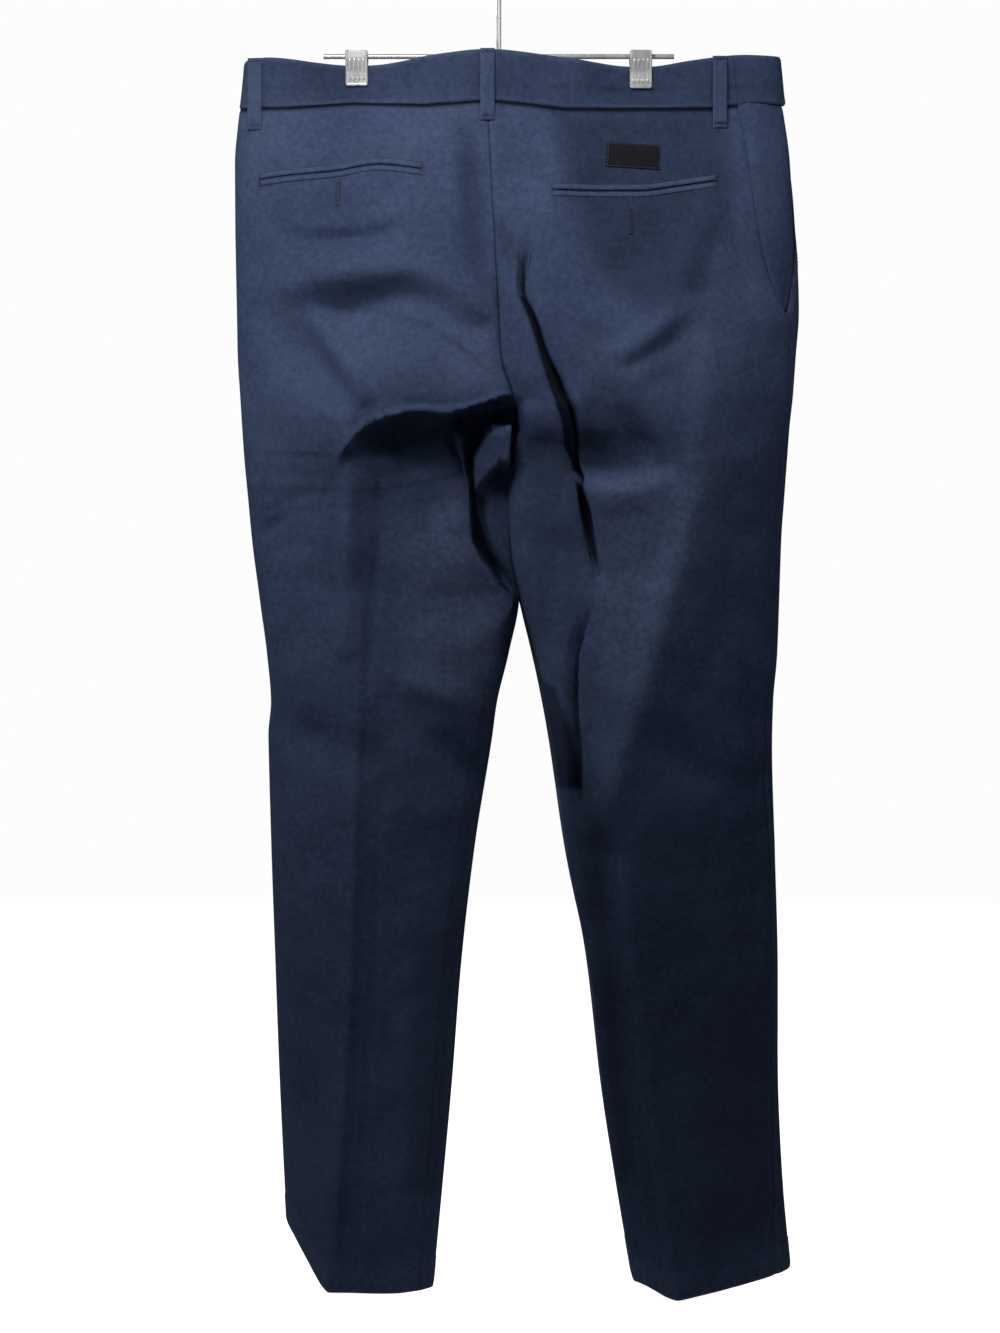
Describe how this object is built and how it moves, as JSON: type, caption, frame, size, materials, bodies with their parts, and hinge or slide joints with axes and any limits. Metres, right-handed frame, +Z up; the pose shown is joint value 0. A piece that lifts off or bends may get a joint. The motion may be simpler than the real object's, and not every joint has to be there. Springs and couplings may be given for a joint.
{
  "type": "chino trousers on a clip hanger",
  "caption": "Slim straight-leg chino trousers with welt back pockets, hanging by the waistband from the sprung clips of a slim wire hanger.",
  "frame": {"origin": "underside of the top of the hanger's hook, where the rail carries it", "axes": "+Z up, -Y out of the trousers' back, +X towards the wearer's right"},
  "size_m": [0.4658, 0.1485, 1.144],
  "materials": {
    "navy_twill": "fine cotton twill, matt with a soft sheen on the worn creases",
    "black_label": "bare woven black label",
    "clip_metal": "bright ribbed steel clips and wire",
    "navy_button": "dark navy resin button"
  },
  "bodies": {
    "root": {"back_label": "black_label", "back_panel_left": "navy_twill", "back_panel_right": "navy_twill", "belt_loop_back_centre": "navy_twill", "belt_loop_back_left": "navy_twill", "belt_loop_back_right": "navy_twill", "belt_loop_front_left": "navy_twill", "belt_loop_front_right": "navy_twill", "belt_loop_side_left": "navy_twill", "belt_loop_side_right": "navy_twill", "clip_jaw_back_left": "clip_metal", "clip_jaw_back_right": "clip_metal", "clip_jaw_front_left": "clip_metal", "clip_jaw_front_right": "clip_metal", "clip_sleeve_left": "clip_metal", "clip_sleeve_right": "clip_metal", "fly_lap": "navy_twill", "front_panel_left": "navy_twill", "front_panel_right": "navy_twill", "hanger_bar": "clip_metal", "hanger_hook": "clip_metal", "hook_sleeve": "clip_metal", "pocket_facing_left": "navy_twill", "pocket_facing_right": "navy_twill", "pocket_welt_lower_left": "navy_twill", "pocket_welt_lower_right": "navy_twill", "pocket_welt_upper_left": "navy_twill", "pocket_welt_upper_right": "navy_twill", "waist_button": "navy_button", "waistband_back_left": "navy_twill", "waistband_back_right": "navy_twill", "waistband_front_left": "navy_twill", "waistband_front_right": "navy_twill"}
  },
  "joints": []
}
